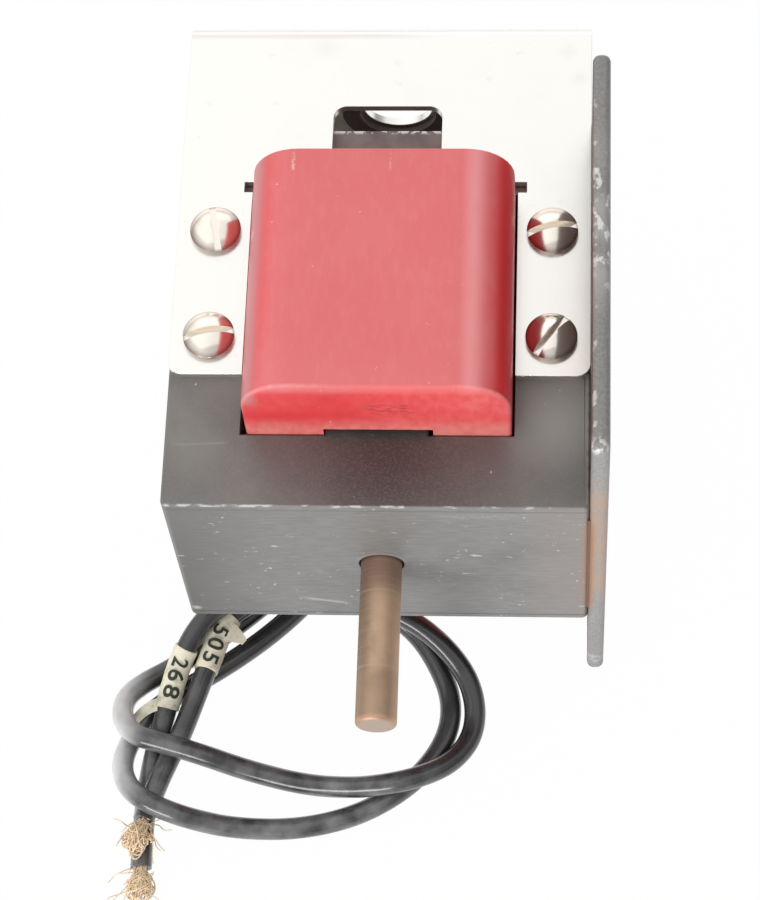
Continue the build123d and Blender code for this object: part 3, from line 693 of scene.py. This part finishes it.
# Operators
class PushPullStage(bpy.types.Operator):
    """A pale floor, soft lights from above and the front left, and the photograph's camera"""
    bl_idname = "solenoid.stage"
    bl_label = "Stage"

    floor_reach = 2.0
    floor_colour = (0.80, 0.79, 0.80, 1)
    background = 0.985
    # Name, place, width and height in metres, power in watts
    lamps = (("lamp_top", (-0.15, 0.42, 0.9), 2.6, 2.6, 8.0),
             ("lamp_front", (-0.36, -0.93, 0.22), 0.8, 0.26, 5.6))

    def execute(self, context):
        scene = context.scene
        scene.view_settings.view_transform = "Standard"
        self.add_camera(scene)
        self.add_floor()
        self.add_lights()
        self.add_world(scene)
        return {"FINISHED"}

    def add_camera(self, scene):
        """The photograph's camera, from its elevation, its yaw from +Y and its roll."""
        e, yaw, roll = (math.radians(a) for a in (CAMERA_ELEVATION, CAMERA_YAW, CAMERA_ROLL))
        ahead = Vector((math.sin(yaw) * math.cos(e), math.cos(yaw) * math.cos(e), -math.sin(e)))
        right = Vector((math.cos(yaw), -math.sin(yaw), 0))
        up = right.cross(ahead)
        across = right * math.cos(roll) + up * math.sin(roll)
        upright = up * math.cos(roll) - right * math.sin(roll)
        data = bpy.data.cameras.new("camera")
        data.sensor_width = SENSOR
        data.lens = FOCAL_PIXELS / FRAME_HEIGHT * SENSOR
        data.clip_start, data.clip_end = 0.01, 10.0
        turn = Matrix((across, upright, -ahead)).transposed().to_4x4()
        scene.camera = place("camera", data)
        scene.camera.matrix_world = Matrix.Translation(Vector(CAMERA_PLACE) * MM) @ turn

    def add_floor(self):
        """A white floor that takes shadows, and is an even background to the camera and in gloss."""
        mesh = bpy.data.meshes.new("floor")
        corners = [(x * self.floor_reach, y * self.floor_reach, FLOOR)
                   for x, y in ((-1, -1), (1, -1), (1, 1), (-1, 1))]
        mesh.from_pydata(corners, [], [(0, 1, 2, 3)])
        floor = place("floor", mesh)
        material = bpy.data.materials.new("floor")
        material.use_nodes = True
        tree = Tree(material.node_tree)
        tree.tree.nodes.clear()
        seen = tree.node("ShaderNodeLightPath", output="Is Camera Ray")
        mirrored = Value(tree, seen.socket.node.outputs["Is Glossy Ray"])
        glow = tree.node("ShaderNodeEmission", inputs={"Color": (1, 1, 1, 1)})
        matt = tree.node("ShaderNodeBsdfDiffuse", inputs={"Color": self.floor_colour})
        share = seen.maths("MAXIMUM", seen, mirrored) * self.background
        blend = tree.node("ShaderNodeMixShader", inputs={0: share, 1: matt, 2: glow})
        tree.node("ShaderNodeOutputMaterial", inputs={"Surface": blend})
        floor.data.materials.append(material)

    def add_lights(self):
        """Two soft lamps that face the origin."""
        for name, position, width, height, power in self.lamps:
            data = bpy.data.lights.new(name, "AREA")
            data.shape = "RECTANGLE"
            data.size, data.size_y = width, height
            data.energy = power
            lamp = place(name, data)
            lamp.location = position
            lamp.rotation_euler = (-Vector(position)).to_track_quat("-Z", "Y").to_euler()

    def add_world(self, scene):
        """A room that is bright above, behind and on the left, and warmer and darker near the ground."""
        world = bpy.data.worlds.new("room")
        scene.world = world
        world.use_nodes = True
        tree = Tree(world.node_tree)
        tree.tree.nodes.clear()
        x, y, z = tree.split(tree.node("ShaderNodeTexCoord", output="Generated"))
        above, left, behind = tree.ramp(z, 0.05, 0.65), tree.ramp(x, 0.5, -0.6), tree.ramp(y, 0.65, 0.92)
        strength = 0.25 + 0.30 * above + 0.22 * left + 0.45 * behind
        colour = tree.mix((1.0, 0.93, 0.90), (1.0, 1.0, 1.0), above)
        back = tree.node("ShaderNodeBackground", inputs={"Color": colour, "Strength": strength})
        tree.node("ShaderNodeOutputWorld", inputs={"Surface": back})


def lead_spline(name, route, bevel):
    """A curve along a lead's route; its spline is smooth and has the route's points as controls."""
    data = bpy.data.curves.new(name, "CURVE")
    data.dimensions = "3D"
    data.resolution_u = 12
    data.bevel_depth = bevel
    data.bevel_resolution = 7
    data.use_fill_caps = bevel > 0
    points = np.array(route) * MM
    points[:, 2] += FLOOR
    spline = data.splines.new("NURBS")
    spline.points.add(len(points) - 1)
    spline.points.foreach_set("co", np.column_stack([points, np.ones(len(points))]).ravel())
    spline.order_u = 3
    spline.use_endpoint_u = True
    return place(name, data)


def lead_line(route):
    """Evenly spaced points along the middle of a lead, in millimetres."""
    wire = lead_spline("line", route, 0.0)
    graph = bpy.context.evaluated_depsgraph_get()
    mesh = bpy.data.meshes.new_from_object(wire.evaluated_get(graph))
    points = points_of(mesh) / MM
    bpy.data.objects.remove(wire)
    bpy.data.meshes.remove(mesh)
    reached = np.concatenate([[0], np.cumsum(np.linalg.norm(np.diff(points, axis=0), axis=1))])
    even = np.arange(0, reached[-1], LINE_STEP)
    return np.stack([np.interp(even, reached, points[:, i]) for i in range(3)], -1)


class PushPullLeads(bpy.types.Operator):
    """The two leads, each one smooth line from its collar to its bare end"""
    bl_idname = "solenoid.leads"
    bl_label = "Leads"

    def execute(self, context):
        black = lead_black("lead_black")
        for number, lead in enumerate(LEADS, 1):
            wire = lead_spline(f"lead_wire_{number}", lead["route"], sizes().lead_diameter / 2)
            settle(wire, "frame", "lead_black", black, f"lead_{number}")
        return {"FINISHED"}


class PushPullMarkers(bpy.types.Operator):
    """A cream tape sleeve with printed numerals round each lead, and the tape's loose ends"""
    bl_idname = "solenoid.markers"
    bl_label = "Wire markers"

    # The sleeve, in millimetres, and its lap in radians
    wrap = 2.40
    sink = 0.06
    cut_sink = 0.1
    lap_rise = 0.07
    lap_start = 0.6
    lap_turn = 5.0
    wrinkle = 0.02
    skew = 0.35
    tape_thickness = 0.16
    # The numerals
    numeral_height = 3.5
    numeral_rise = 0.05
    numeral_weight = 0.07
    numeral_lift = 0.06
    numeral_turn = math.radians(105)
    font_share = 1.35
    cut_step = 0.2

    def execute(self, context):
        cream = tape("marker_cream")
        ink = plain("marker_ink", (0.035, 0.045, 0.03), roughness=0.6)
        for number, lead in enumerate(LEADS, 1):
            line = self.stretch(lead)
            sleeve = surface(f"marker_{number}", [(self.sleeve(line), False, True),
                                                  (self.strip(*lead["tail"]), False, True)])
            settle(sleeve, "frame", "marker_cream", cream, f"lead_marker_{number}")
            settle(self.numerals(lead, line, number), "frame", None, ink)
        return {"FINISHED"}

    def stretch(self, lead):
        """The part of the lead's line between the middles of two runs of its route."""
        line, route = lead_line(lead["route"]), np.array(lead["route"])
        route[:, 2] += FLOOR / MM
        first, last = lead["marker_runs"]
        ends = [(route[i - 1] + route[i]) / 2 for i in (first, last + 1)]
        start, stop = (int(np.linalg.norm(line - end, axis=1).argmin()) for end in ends)
        return line[start:stop]

    def sleeve(self, line):
        """The tape: rings about the lead, whose radius grows with the angle up to the lap and has
        sine wrinkles; its two cuts are moved along the lead by a sine of the angle."""
        columns = 48
        angle = np.linspace(0, 2 * math.pi, columns, endpoint=False)
        lap = self.lap_rise * np.clip(((angle - self.lap_start) % (2 * math.pi)) / self.lap_turn, 0, 1)
        share = np.linspace(0, 1, len(line))[:, None]
        wrinkle = self.wrinkle * np.sin(9 * share * math.pi + 2 * angle)
        rings = self.wrap - self.sink + lap + wrinkle
        rings[0], rings[-1] = self.wrap - self.cut_sink, self.wrap - self.cut_sink
        grid = around_line(line, rings, columns)
        along, _, _ = frames(line)
        skew = self.skew * np.sin(angle - 0.4)[:, None]
        grid[1:3] += along[0] * skew
        grid[-3:-1] -= along[-1] * skew
        return grid

    def strip(self, points, width, taper):
        """A bent strip of tape: a flat section, carried along the cubic Bezier curve of four points
        over the floor, that goes from its full width to its taper."""
        knots = np.array(points)
        knots[:, 2] += FLOOR / MM
        share = np.linspace(0, 1, 16)
        blend = np.stack([(1 - share) ** 3, 3 * share * (1 - share) ** 2, 3 * share ** 2 * (1 - share),
                          share ** 3])
        line = np.einsum("kn,kd->nd", blend, knots)
        _, side, up = frames(line)
        half = width / 2 * (1 + (taper - 1) * share[:, None])
        rows = np.stack([line + side * half * a + up * self.tape_thickness / 2 * b
                         for a, b in ((-1, -1), (1, -1), (1, 1), (-1, 1))], 1)
        caps = [np.broadcast_to(end, (1, 4, 3)) for end in (line[0], line[-1])]
        return np.concatenate([caps[0], rows, caps[1]])

    def numerals(self, lead, line, number):
        """Printed numerals along the lead: a letter's height becomes an angle round the lead, so each
        point lies at its radius times side cosine plus up sine of that angle from the line."""
        mesh = self.printed(lead["numerals"])
        flat = points_of(mesh) / MM
        spot = np.clip(len(line) / 2 + (flat[:, 0] + lead["shift"]) / LINE_STEP, 0, len(line) - 1)
        rank = np.arange(len(line))
        _, side, up = frames(line)
        centre, side, up = (np.stack([np.interp(spot, rank, v[:, i]) for i in range(3)], -1)
                            for v in (line, side, up))
        radius = self.wrap + self.numeral_lift
        turn = self.numeral_turn + (flat[:, 1] - self.numeral_height / 2) / radius
        radius = (radius + flat[:, 2])[:, None]
        bent = centre + radius * (side * np.cos(turn)[:, None] + up * np.sin(turn)[:, None])
        mesh.vertices.foreach_set("co", (bent * MM).ravel())
        return finished(f"numerals_{number}", mesh)

    def printed(self, text):
        """The text as a thin flat mesh, cut across and along so that it can bend."""
        font = bpy.data.curves.new("numerals", "FONT")
        font.body = text
        font.align_x = "CENTER"
        font.size = self.font_share * self.numeral_height * MM
        font.space_character = 1.25
        font.extrude = self.numeral_rise * MM
        font.offset = self.numeral_weight * MM
        words = place("numerals", font)
        graph = bpy.context.evaluated_depsgraph_get()
        mesh = bpy.data.meshes.new_from_object(words.evaluated_get(graph))
        bpy.data.objects.remove(words)
        work = bmesh.new()
        work.from_mesh(mesh)
        for normal, cuts in ((Vector((0, 1, 0)), np.arange(0, 18) * self.cut_step),
                             (Vector((1, 0, 0)), np.arange(-20, 20) * 2 * self.cut_step)):
            for cut in cuts * MM:
                parts = work.verts[:] + work.edges[:] + work.faces[:]
                bmesh.ops.bisect_plane(work, geom=parts, plane_co=normal * cut, plane_no=normal)
        work.to_mesh(mesh)
        work.free()
        return mesh


class PushPullStrands(bpy.types.Operator):
    """The frayed copper at each bare end: fine wires that curl into a loose ball"""
    bl_idname = "solenoid.strands"
    bl_label = "Frayed strands"

    wires = 36
    strays = 18
    wire_radius = 0.16
    stray_share = 0.7
    wire_points = 56
    bundle = 0.9
    bundle_depth = 0.6
    # Share of the solid's half sizes that the ball fills, and of a wire that leaves the lead
    fill = (0.86, 0.86, 0.80)
    leaving = 0.22
    looseness = (0.45, 1.12)
    waves = (0.5, 1.1, 1.9)
    seed = 5

    def execute(self, context):
        copper = plain("strand_copper", tuple(colours().copper), 0.15, 0.45, 0.8)
        for number, lead in enumerate(LEADS, 1):
            line = lead_line(lead["route"])
            low, high = (np.array(c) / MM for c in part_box(f"lead_strands_{number}"))
            chance = np.random.default_rng(self.seed + number)
            grids = [(self.wire(chance, line, low, high, stray), False, True)
                     for stray in [False] * self.wires + [True] * self.strays]
            ball = surface(f"strands_{number}", grids)
            settle(ball, "frame", "strand_copper", copper, f"lead_strands_{number}")
        return {"FINISHED"}

    def wire(self, chance, line, low, high, stray):
        """One wire: it leaves the lead's end and wanders in the ball, its place a sum of three sine
        waves; a stray one goes out of the ball, ever faster, with one small wave."""
        end, along = line[-1], (line[-1] - line[-8]) / np.linalg.norm(line[-1] - line[-8])
        centre, reach = (low + high) / 2, (high - low) / 2 * self.fill
        share = np.linspace(0, 1, self.wire_points)[:, None]
        waves = [chance.normal(size=3) * np.sin(2 * math.pi * (turns * share + chance.random(3)))
                 for turns in self.waves]
        wander = sum(waves) / 1.7
        wander /= np.maximum(1.0, np.linalg.norm(wander, axis=1, keepdims=True))
        start = end - self.bundle_depth * along + chance.uniform(-self.bundle, self.bundle, 3)
        leave = np.clip(share / self.leaving, 0, 1)
        leave = leave ** 2 * (3 - 2 * leave)
        loose = chance.uniform(*self.looseness, 3)
        path = start * (1 - leave) + (centre + wander * reach * loose) * leave
        if stray:
            away = np.array([1.2 * chance.normal(), 0.8 * chance.normal(), 0.25])
            path = start + (centre - start) * share + away * share ** 1.5 * chance.uniform(1.5, 3.6)
            path += 0.5 * np.sin(2 * math.pi * (1.3 * share + chance.random(3)))
        lowest, box = FLOOR / MM + self.wire_radius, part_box("lead_strands_1")[0] / MM
        path[:, 2] = np.maximum(path[:, 2], lowest)
        path[:, 1] = np.maximum(path[:, 1], box.y + self.wire_radius)
        radius = self.wire_radius * (self.stray_share if stray else 1.0)
        return around_line(path, np.full((len(path), 1), radius), 5)


class PushPullCoil(bpy.types.Operator):
    """The red moulding over the coil, with its bore, and the block where the leads come out"""
    bl_idname = "solenoid.coil"
    bl_label = "Coil"

    corner = 8.8
    edge = 0.7
    bore_half = 9.8
    bore_top = 27.4
    block_half, block_length, block_setback, block_corner, block_edge = 8.0, 42.0, 1.4, 2.0, 0.8
    # Places of the leads along the block, and the collar round each: radius and place along x
    lead_places = (24.0, 18.0)
    collar = ((2.8, -7.0), (2.8, -9.6), (2.68, -9.88), (2.4, -10.0), (2.0, -10.0))

    def execute(self, context):
        low, high = (np.array(c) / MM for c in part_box("coil_moulding"))
        red = coil_red("coil_red")
        shell = surface("coil_shell", [(self.shell_grid(low, high), True, True)])
        settle(shell, "frame", "coil_red", red)
        block = surface("lead_block", self.block_grids(low[2], low[1]))
        settle(block, "frame", "coil_red", red, "coil_moulding")
        return {"FINISHED"}

    def shell_grid(self, low, high):
        """Each line runs from the bore over the front face, round the edge as a quarter circle, along
        the side, round the rear edge and back through the bore."""
        half_x, half_z, centre = (high[0] - low[0]) / 2, high[2], (low[0] + high[0]) / 2
        front, rear = low[1], high[1]
        outer = rounded_rectangle(half_x, half_z, self.corner)
        inner = np.clip(outer, (-self.bore_half, -self.bore_top), (self.bore_half, self.bore_top))
        towards = outer - np.clip(outer, (self.corner - half_x, self.corner - half_z),
                                  (half_x - self.corner, half_z - self.corner))
        length = np.linalg.norm(towards, axis=1, keepdims=True)
        direction = towards / np.maximum(length, 1e-9)
        flat = outer - direction * self.edge
        rows = []

        def add(points, y):
            rows.append(np.column_stack([centre + points[:, 0], np.full(len(points), y), points[:, 1]]))

        for share in np.linspace(0, 1, 8):
            add(inner + (flat - inner) * share, front)
        for angle in np.radians(np.linspace(0, 90, 6)[1:]):
            add(flat + direction * self.edge * math.sin(angle), front + self.edge * (1 - math.cos(angle)))
        for share in np.linspace(0, 1, 10)[1:]:
            add(outer, front + self.edge + (rear - front - 2 * self.edge) * share)
        for angle in np.radians(np.linspace(90, 0, 6)[1:]):
            add(flat + direction * self.edge * math.sin(angle), rear - self.edge * (1 - math.cos(angle)))
        for share in np.linspace(1, 0, 8)[1:]:
            add(inner + (flat - inner) * share, rear)
        for share in np.linspace(0, 1, 6)[1:-1]:
            add(inner, rear + (front - rear) * share)
        return np.array(rows)

    def block_grids(self, bottom, front):
        """A rounded block under the shell, one outline per height, scaled down along a quarter circle
        at its lower edge, with a turned collar for each lead."""
        half, length, edge = self.block_half, self.block_length, self.block_edge
        outline = rounded_rectangle(half, length / 2, self.block_corner)
        centre = front + self.block_setback + length / 2
        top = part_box("coil_winding")[0].z / MM
        rows = [(1.0, 1.0, z) for z in np.linspace(top, bottom + edge, 5)]
        for angle in np.radians(np.linspace(0, 90, 6)[1:]):
            inset = edge * (1 - math.cos(angle))
            rows.append((1 - inset / half, 1 - 2 * inset / length, bottom + edge * (1 - math.sin(angle))))
        for share in (0.5, 0.0):
            rows.append((share * (1 - edge / half), share * (1 - 2 * edge / length), bottom))
        body = np.array([np.column_stack([outline[:, 0] * sx, centre + outline[:, 1] * sy,
                                          np.full(len(outline), z)]) for sx, sy, z in rows])
        collars = [lathe(np.array(self.collar), "x", (0, y, bottom + EXIT_HEIGHT), 40)
                   for y in self.lead_places]
        return [(grid, False, True) for grid in (body, *collars)]


class PushPullRod(bpy.types.Operator):
    """The bronze push rod, turned with a chamfered nose"""
    bl_idname = "solenoid.push_rod"
    bl_label = "Push rod"

    nose = 3.8
    shank = 3.85
    chamfer = 0.8
    shoulder = 1.2

    def execute(self, context):
        tip, rear = (corner.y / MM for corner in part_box("push_rod"))
        nose, shank, chamfer = self.nose, self.shank, self.chamfer
        profile = [(0, tip), (1.5, tip), (nose - chamfer, tip)]
        profile += [(nose - chamfer * (1 - math.sin(a)), tip + chamfer * (1 - math.cos(a)))
                    for a in np.radians(np.linspace(12, 90, 7))]
        profile += [(nose, y) for y in np.linspace(tip + 2, 0, 8)]
        profile += [(shank, self.shoulder), (shank, rear), (0, rear)]
        rod = surface("rod", [(lathe(np.array(profile), "y", columns=96), False, True)])
        settle(rod, "plunger", "rod_bronze", bronze("rod_bronze"), "push_rod")
        return {"FINISHED"}


class PushPullScrews(bpy.types.Operator):
    """Four slotted pan head screws, each head a dome that is cut by its slot"""
    bl_idname = "solenoid.screws"
    bl_label = "Clamp screws"

    # Place of each screw and the angle of its slot in degrees
    places = ((-31.0, 32.9, 10.0), (-31.0, 54.8, 100.0), (31.0, 32.9, 53.0), (31.0, 54.8, 11.0))
    radius, height, rim = 4.7, 3.0, 1.0
    half_slot, slot_depth, soft = 0.62, 2.0, 0.08
    shank, point, point_length = 2.4, 1.9, 0.5
    warm = (1.0, 0.94, 0.88)

    def execute(self, context):
        foot, top = (corner.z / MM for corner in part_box("clamp_screws"))
        seat = top - self.height
        shank = np.array([(self.shank, seat), (self.shank, foot + self.point_length),
                          (self.point, foot), (0, foot)])
        grids = []
        for x, y, angle in self.places:
            turn = math.radians(angle)
            head = self.head_grid()
            px = head[..., 0] * math.cos(turn) - head[..., 1] * math.sin(turn) + x
            py = head[..., 0] * math.sin(turn) + head[..., 1] * math.cos(turn) + y
            grids.append((np.stack([px, py, head[..., 2] + seat], -1), False, False))
            grids.append((lathe(shank, "z", (x, y, 0), 32), False, True))
        screws = surface("screws", grids)
        bright = nickel("screw_nickel", 0.2, self.warm, [(x, y, seat) for x, y, _ in self.places])
        settle(screws, "frame", "screw_nickel", bright, "clamp_screws")
        return {"FINISHED"}

    def head_grid(self):
        """Chords along the slot, whose height is the lower of the slot and of the dome, a cap of a
        sphere: the root of its squared radius less the squared distance from the middle."""
        radius, slot, soft = self.radius, self.half_slot, self.soft
        outside = slot + soft + (radius - slot - soft) * np.sin(np.radians(np.linspace(0, 90, 16)))
        across = np.concatenate([-outside[::-1], [-slot, -slot, slot, slot], outside])
        level_ends = np.zeros(len(outside))
        drop = np.concatenate([level_ends, [soft, self.slot_depth, self.slot_depth, soft], level_ends])
        along = np.sin(np.radians(np.linspace(-90, 90, 41)))
        rise = self.height - self.rim
        dome = (radius ** 2 + rise ** 2) / (2 * rise)
        s = across[:, None]
        half = np.sqrt(np.maximum(radius ** 2 - s ** 2, 0))
        t = along[None, :] * half
        level = self.height - dome + np.sqrt(np.maximum(dome ** 2 - s ** 2 - t ** 2, 0))
        level = np.minimum(level, self.height - drop[:, None])
        x, y = t, np.broadcast_to(s, t.shape)
        top = np.stack([x, y, level], -1)
        foot = top[:, [0, -1]].copy()
        foot[..., 2] = 0.0
        return np.concatenate([foot[:, :1], top, foot[:, 1:]], axis=1)


class PushPullBracket(bpy.types.Operator):
    """The nickel-plated guide bracket, its sheet edges rounded, and the stop washer"""
    bl_idname = "solenoid.bracket"
    bl_label = "Guide bracket"

    def execute(self, context):
        bracket = merged_copy("bracket", "guide_bracket", sizes().sheet_round)
        settle(bracket, "frame", "nickel_sheet", nickel("nickel_sheet"), "guide_bracket")
        dress("stop_washer", plain("buffer_rubber", (0.08, 0.05, 0.047), roughness=0.6))
        return {"FINISHED"}


class PushPullField(bpy.types.Operator):
    """The blackened field: laminations between two thicker plates"""
    bl_idname = "solenoid.field"
    bl_label = "Field"

    edge_round = 0.12 * MM

    def execute(self, context):
        laminations = merged_copy("field_block", "field_laminations", self.edge_round)
        settle(laminations, "frame", "core_steel", black_steel("core_steel", laminated=True),
               "field_laminations")
        steel = black_steel("black_plate")
        for side in ("top", "bottom"):
            plate = merged_copy(f"outer_plate_{side}", f"field_plate_{side}", self.edge_round)
            settle(plate, "frame", "black_plate", steel, f"field_plate_{side}")
        dress("rod_bush", plain("bush_bronze", (0.42, 0.27, 0.14), 1.0, 0.4))
        copper = plain("copper_ring", (0.62, 0.30, 0.18), 1.0, 0.4)
        for side in ("left", "right"):
            dress(f"shading_ring_{side}", copper)
        return {"FINISHED"}


class PushPullMountingPlate(bpy.types.Operator):
    """The steel mounting plate on the right, and its weld"""
    bl_idname = "solenoid.mounting_plate"
    bl_label = "Mounting plate"

    edge_round = 0.1 * MM

    def execute(self, context):
        plate = merged_copy("side_plate", "mounting_plate", self.edge_round)
        settle(plate, "frame", "mounting_steel", plate_steel("mounting_steel"), "mounting_plate")
        dress("mounting_weld", plain("weld_metal", (0.20, 0.11, 0.07), 0.4, 0.5, 0.6, 0.1))
        return {"FINISHED"}


class PushPullPlunger(bpy.types.Operator):
    """The laminated plunger, its plates, rivets and rod pin"""
    bl_idname = "solenoid.plunger"
    bl_label = "Plunger"

    core_round = 0.1 * MM
    plate_round = 0.15 * MM

    def execute(self, context):
        steel = plunger_steel("plunger_steel")
        core = merged_copy("plunger_block", "plunger_laminations", self.core_round)
        settle(core, "plunger", "plunger_steel", steel, "plunger_laminations")
        for side in ("top", "bottom"):
            plate = merged_copy(f"plunger_cover_{side}", f"plunger_plate_{side}", self.plate_round)
            settle(plate, "plunger", "plunger_steel", steel, f"plunger_plate_{side}")
        pin = plain("pin_steel", (0.45, 0.44, 0.42), 1.0, 0.35)
        dress("plunger_rivets", pin)
        dress("rod_pin", pin)
        return {"FINISHED"}


class PushPullSmallParts(bpy.types.Operator):
    """Winding, bobbin, wedges, washers and nuts: CAD shapes with a better finish"""
    bl_idname = "solenoid.small_parts"
    bl_label = "Small parts"

    def execute(self, context):
        dress("coil_bobbin", plain("bobbin_nylon", (0.75, 0.72, 0.62), roughness=0.45))
        dress("coil_winding", plain("winding_wire", (0.45, 0.16, 0.06), 0.8, 0.35, 1.0))
        fibre = plain("fibre", (0.36, 0.21, 0.12), roughness=0.7)
        zinc = plain("zinc_steel", (0.62, 0.62, 0.60), 1.0, 0.35)
        for node, material in (("coil_wedge_top", fibre), ("coil_wedge_bottom", fibre),
                               ("lock_washers", zinc), ("clamp_nuts", zinc)):
            dress(node, material)
        return {"FINISHED"}


class PushPullCords(bpy.types.Operator):
    """Returns at once; it declares no cord."""
    bl_idname = "solenoid.cords"
    bl_label = "Declare leads"

    def execute(self, context):
        return {"FINISHED"}


class PushPullPanel(bpy.types.Panel):
    """Lists the pieces of the solenoid in the sidebar"""
    bl_idname = "VIEW3D_PT_solenoid"
    bl_label = "Push pull solenoid"
    bl_space_type = "VIEW_3D"
    bl_region_type = "UI"
    bl_category = "Solenoid"

    def draw(self, context):
        for operator in OPERATORS:
            self.layout.operator(operator.bl_idname)
        for group in (context.scene.solenoid_sizes, context.scene.solenoid_colours):
            for name in group.__annotations__:
                self.layout.prop(group, name)


OPERATORS = (
    PushPullStage, PushPullLeads, PushPullMarkers, PushPullStrands, PushPullCords, PushPullCoil,
    PushPullRod, PushPullScrews, PushPullBracket, PushPullField, PushPullMountingPlate,
    PushPullPlunger, PushPullSmallParts,
)
CLASSES = (SolenoidSizes, SolenoidColours, *OPERATORS, PushPullPanel)


def register():
    for item in CLASSES:
        bpy.utils.register_class(item)
    bpy.types.Scene.solenoid_sizes = bpy.props.PointerProperty(type=SolenoidSizes)
    bpy.types.Scene.solenoid_colours = bpy.props.PointerProperty(type=SolenoidColours)


def unregister():
    del bpy.types.Scene.solenoid_colours
    del bpy.types.Scene.solenoid_sizes
    for item in reversed(CLASSES):
        bpy.utils.unregister_class(item)


def main():
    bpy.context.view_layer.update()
    register()
    for operator in OPERATORS:
        family, name = operator.bl_idname.split(".")
        getattr(getattr(bpy.ops, family), name)()


if __name__ == "__main__":
    main()
